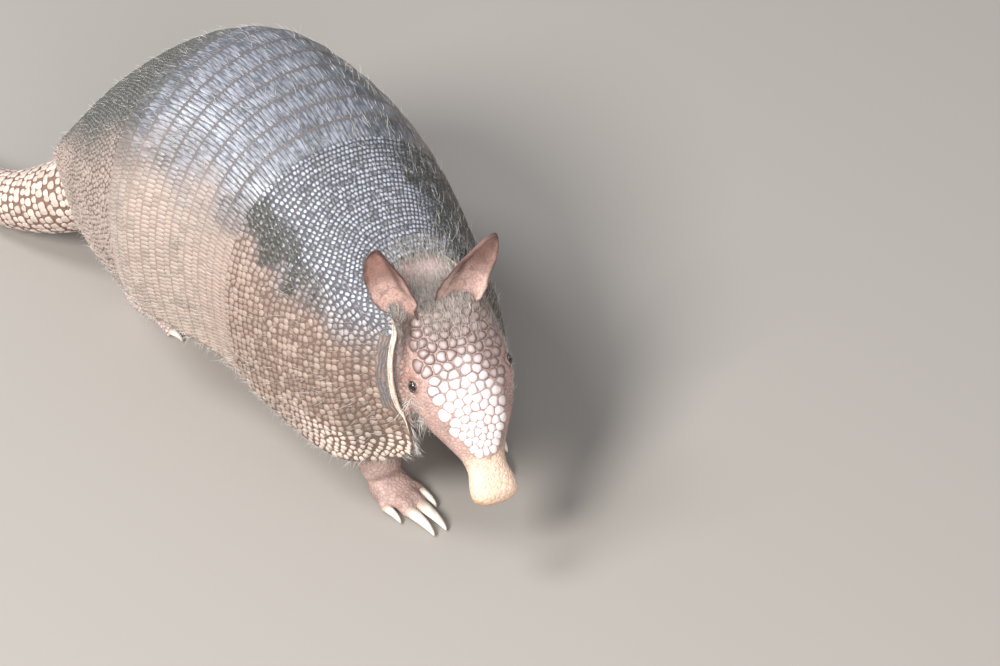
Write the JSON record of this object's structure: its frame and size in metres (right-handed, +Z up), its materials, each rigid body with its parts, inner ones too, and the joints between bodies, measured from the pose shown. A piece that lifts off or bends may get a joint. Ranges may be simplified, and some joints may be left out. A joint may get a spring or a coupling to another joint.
{
  "type": "nine-banded armadillo",
  "caption": "Life-size standing armadillo, head lowered, rump turned to its right: a domed shell of two shields with bands between, long ears, digging claws and a tapering tail on the floor.",
  "frame": {"origin": "on the floor, under the middle of the whole animal's box", "axes": "+Z up; -Y the way the animal faces; +X the animal's left; the longest extent, nose to tail tip, runs along Y"},
  "size_m": [0.2086, 0.6412, 0.1767],
  "materials": {
    "shell_shield": "small bony scales under thin horn, semi-gloss, slate grey on the back and paler brown low on the flanks",
    "shell_band": "lengthwise triangular scales, semi-gloss, slate grey with brown edges",
    "head_scales": "large rounded polygonal scales, pinkish white with mauve brown grooves, semi-gloss",
    "skin": "bare folded skin with small flat scales and sparse pale hair",
    "ear_skin": "thin pebbled skin, terracotta brown",
    "nose_skin": "smooth moist skin, peach",
    "tail_scales": "rings of large pale scales with brown gaps",
    "claw": "ivory horn, worn at the tips",
    "eye": "wet near-black"
  },
  "bodies": {
    "root": {"scapular_shield": "shell_shield", "band_1": "shell_band", "band_2": "shell_band", "band_3": "shell_band", "band_4": "shell_band", "band_5": "shell_band", "band_6": "shell_band", "band_7": "shell_band", "band_8": "shell_band", "band_9": "shell_band", "pelvic_shield": "shell_shield", "head": "skin", "nose": "nose_skin", "head_shield": "head_scales", "trunk": "skin", "neck": "skin", "eye_right": "eye", "eye_left": "eye", "ear_right": "ear_skin", "ear_left": "ear_skin", "tail_1": "tail_scales", "tail_2": "tail_scales", "tail_3": "tail_scales", "tail_4": "tail_scales", "foreleg_right": "skin", "forefoot_right": "skin", "hindleg_right": "skin", "hindfoot_right": "skin", "claw_fore_right_1": "claw", "claw_fore_right_2": "claw", "claw_fore_right_3": "claw", "claw_fore_right_4": "claw", "claw_hind_right_1": "claw", "claw_hind_right_2": "claw", "claw_hind_right_3": "claw", "claw_hind_right_4": "claw", "claw_hind_right_5": "claw", "foreleg_left": "skin", "forefoot_left": "skin", "hindleg_left": "skin", "hindfoot_left": "skin", "claw_fore_left_1": "claw", "claw_fore_left_2": "claw", "claw_fore_left_3": "claw", "claw_fore_left_4": "claw", "claw_hind_left_1": "claw", "claw_hind_left_2": "claw", "claw_hind_left_3": "claw", "claw_hind_left_4": "claw", "claw_hind_left_5": "claw"}
  },
  "joints": []
}
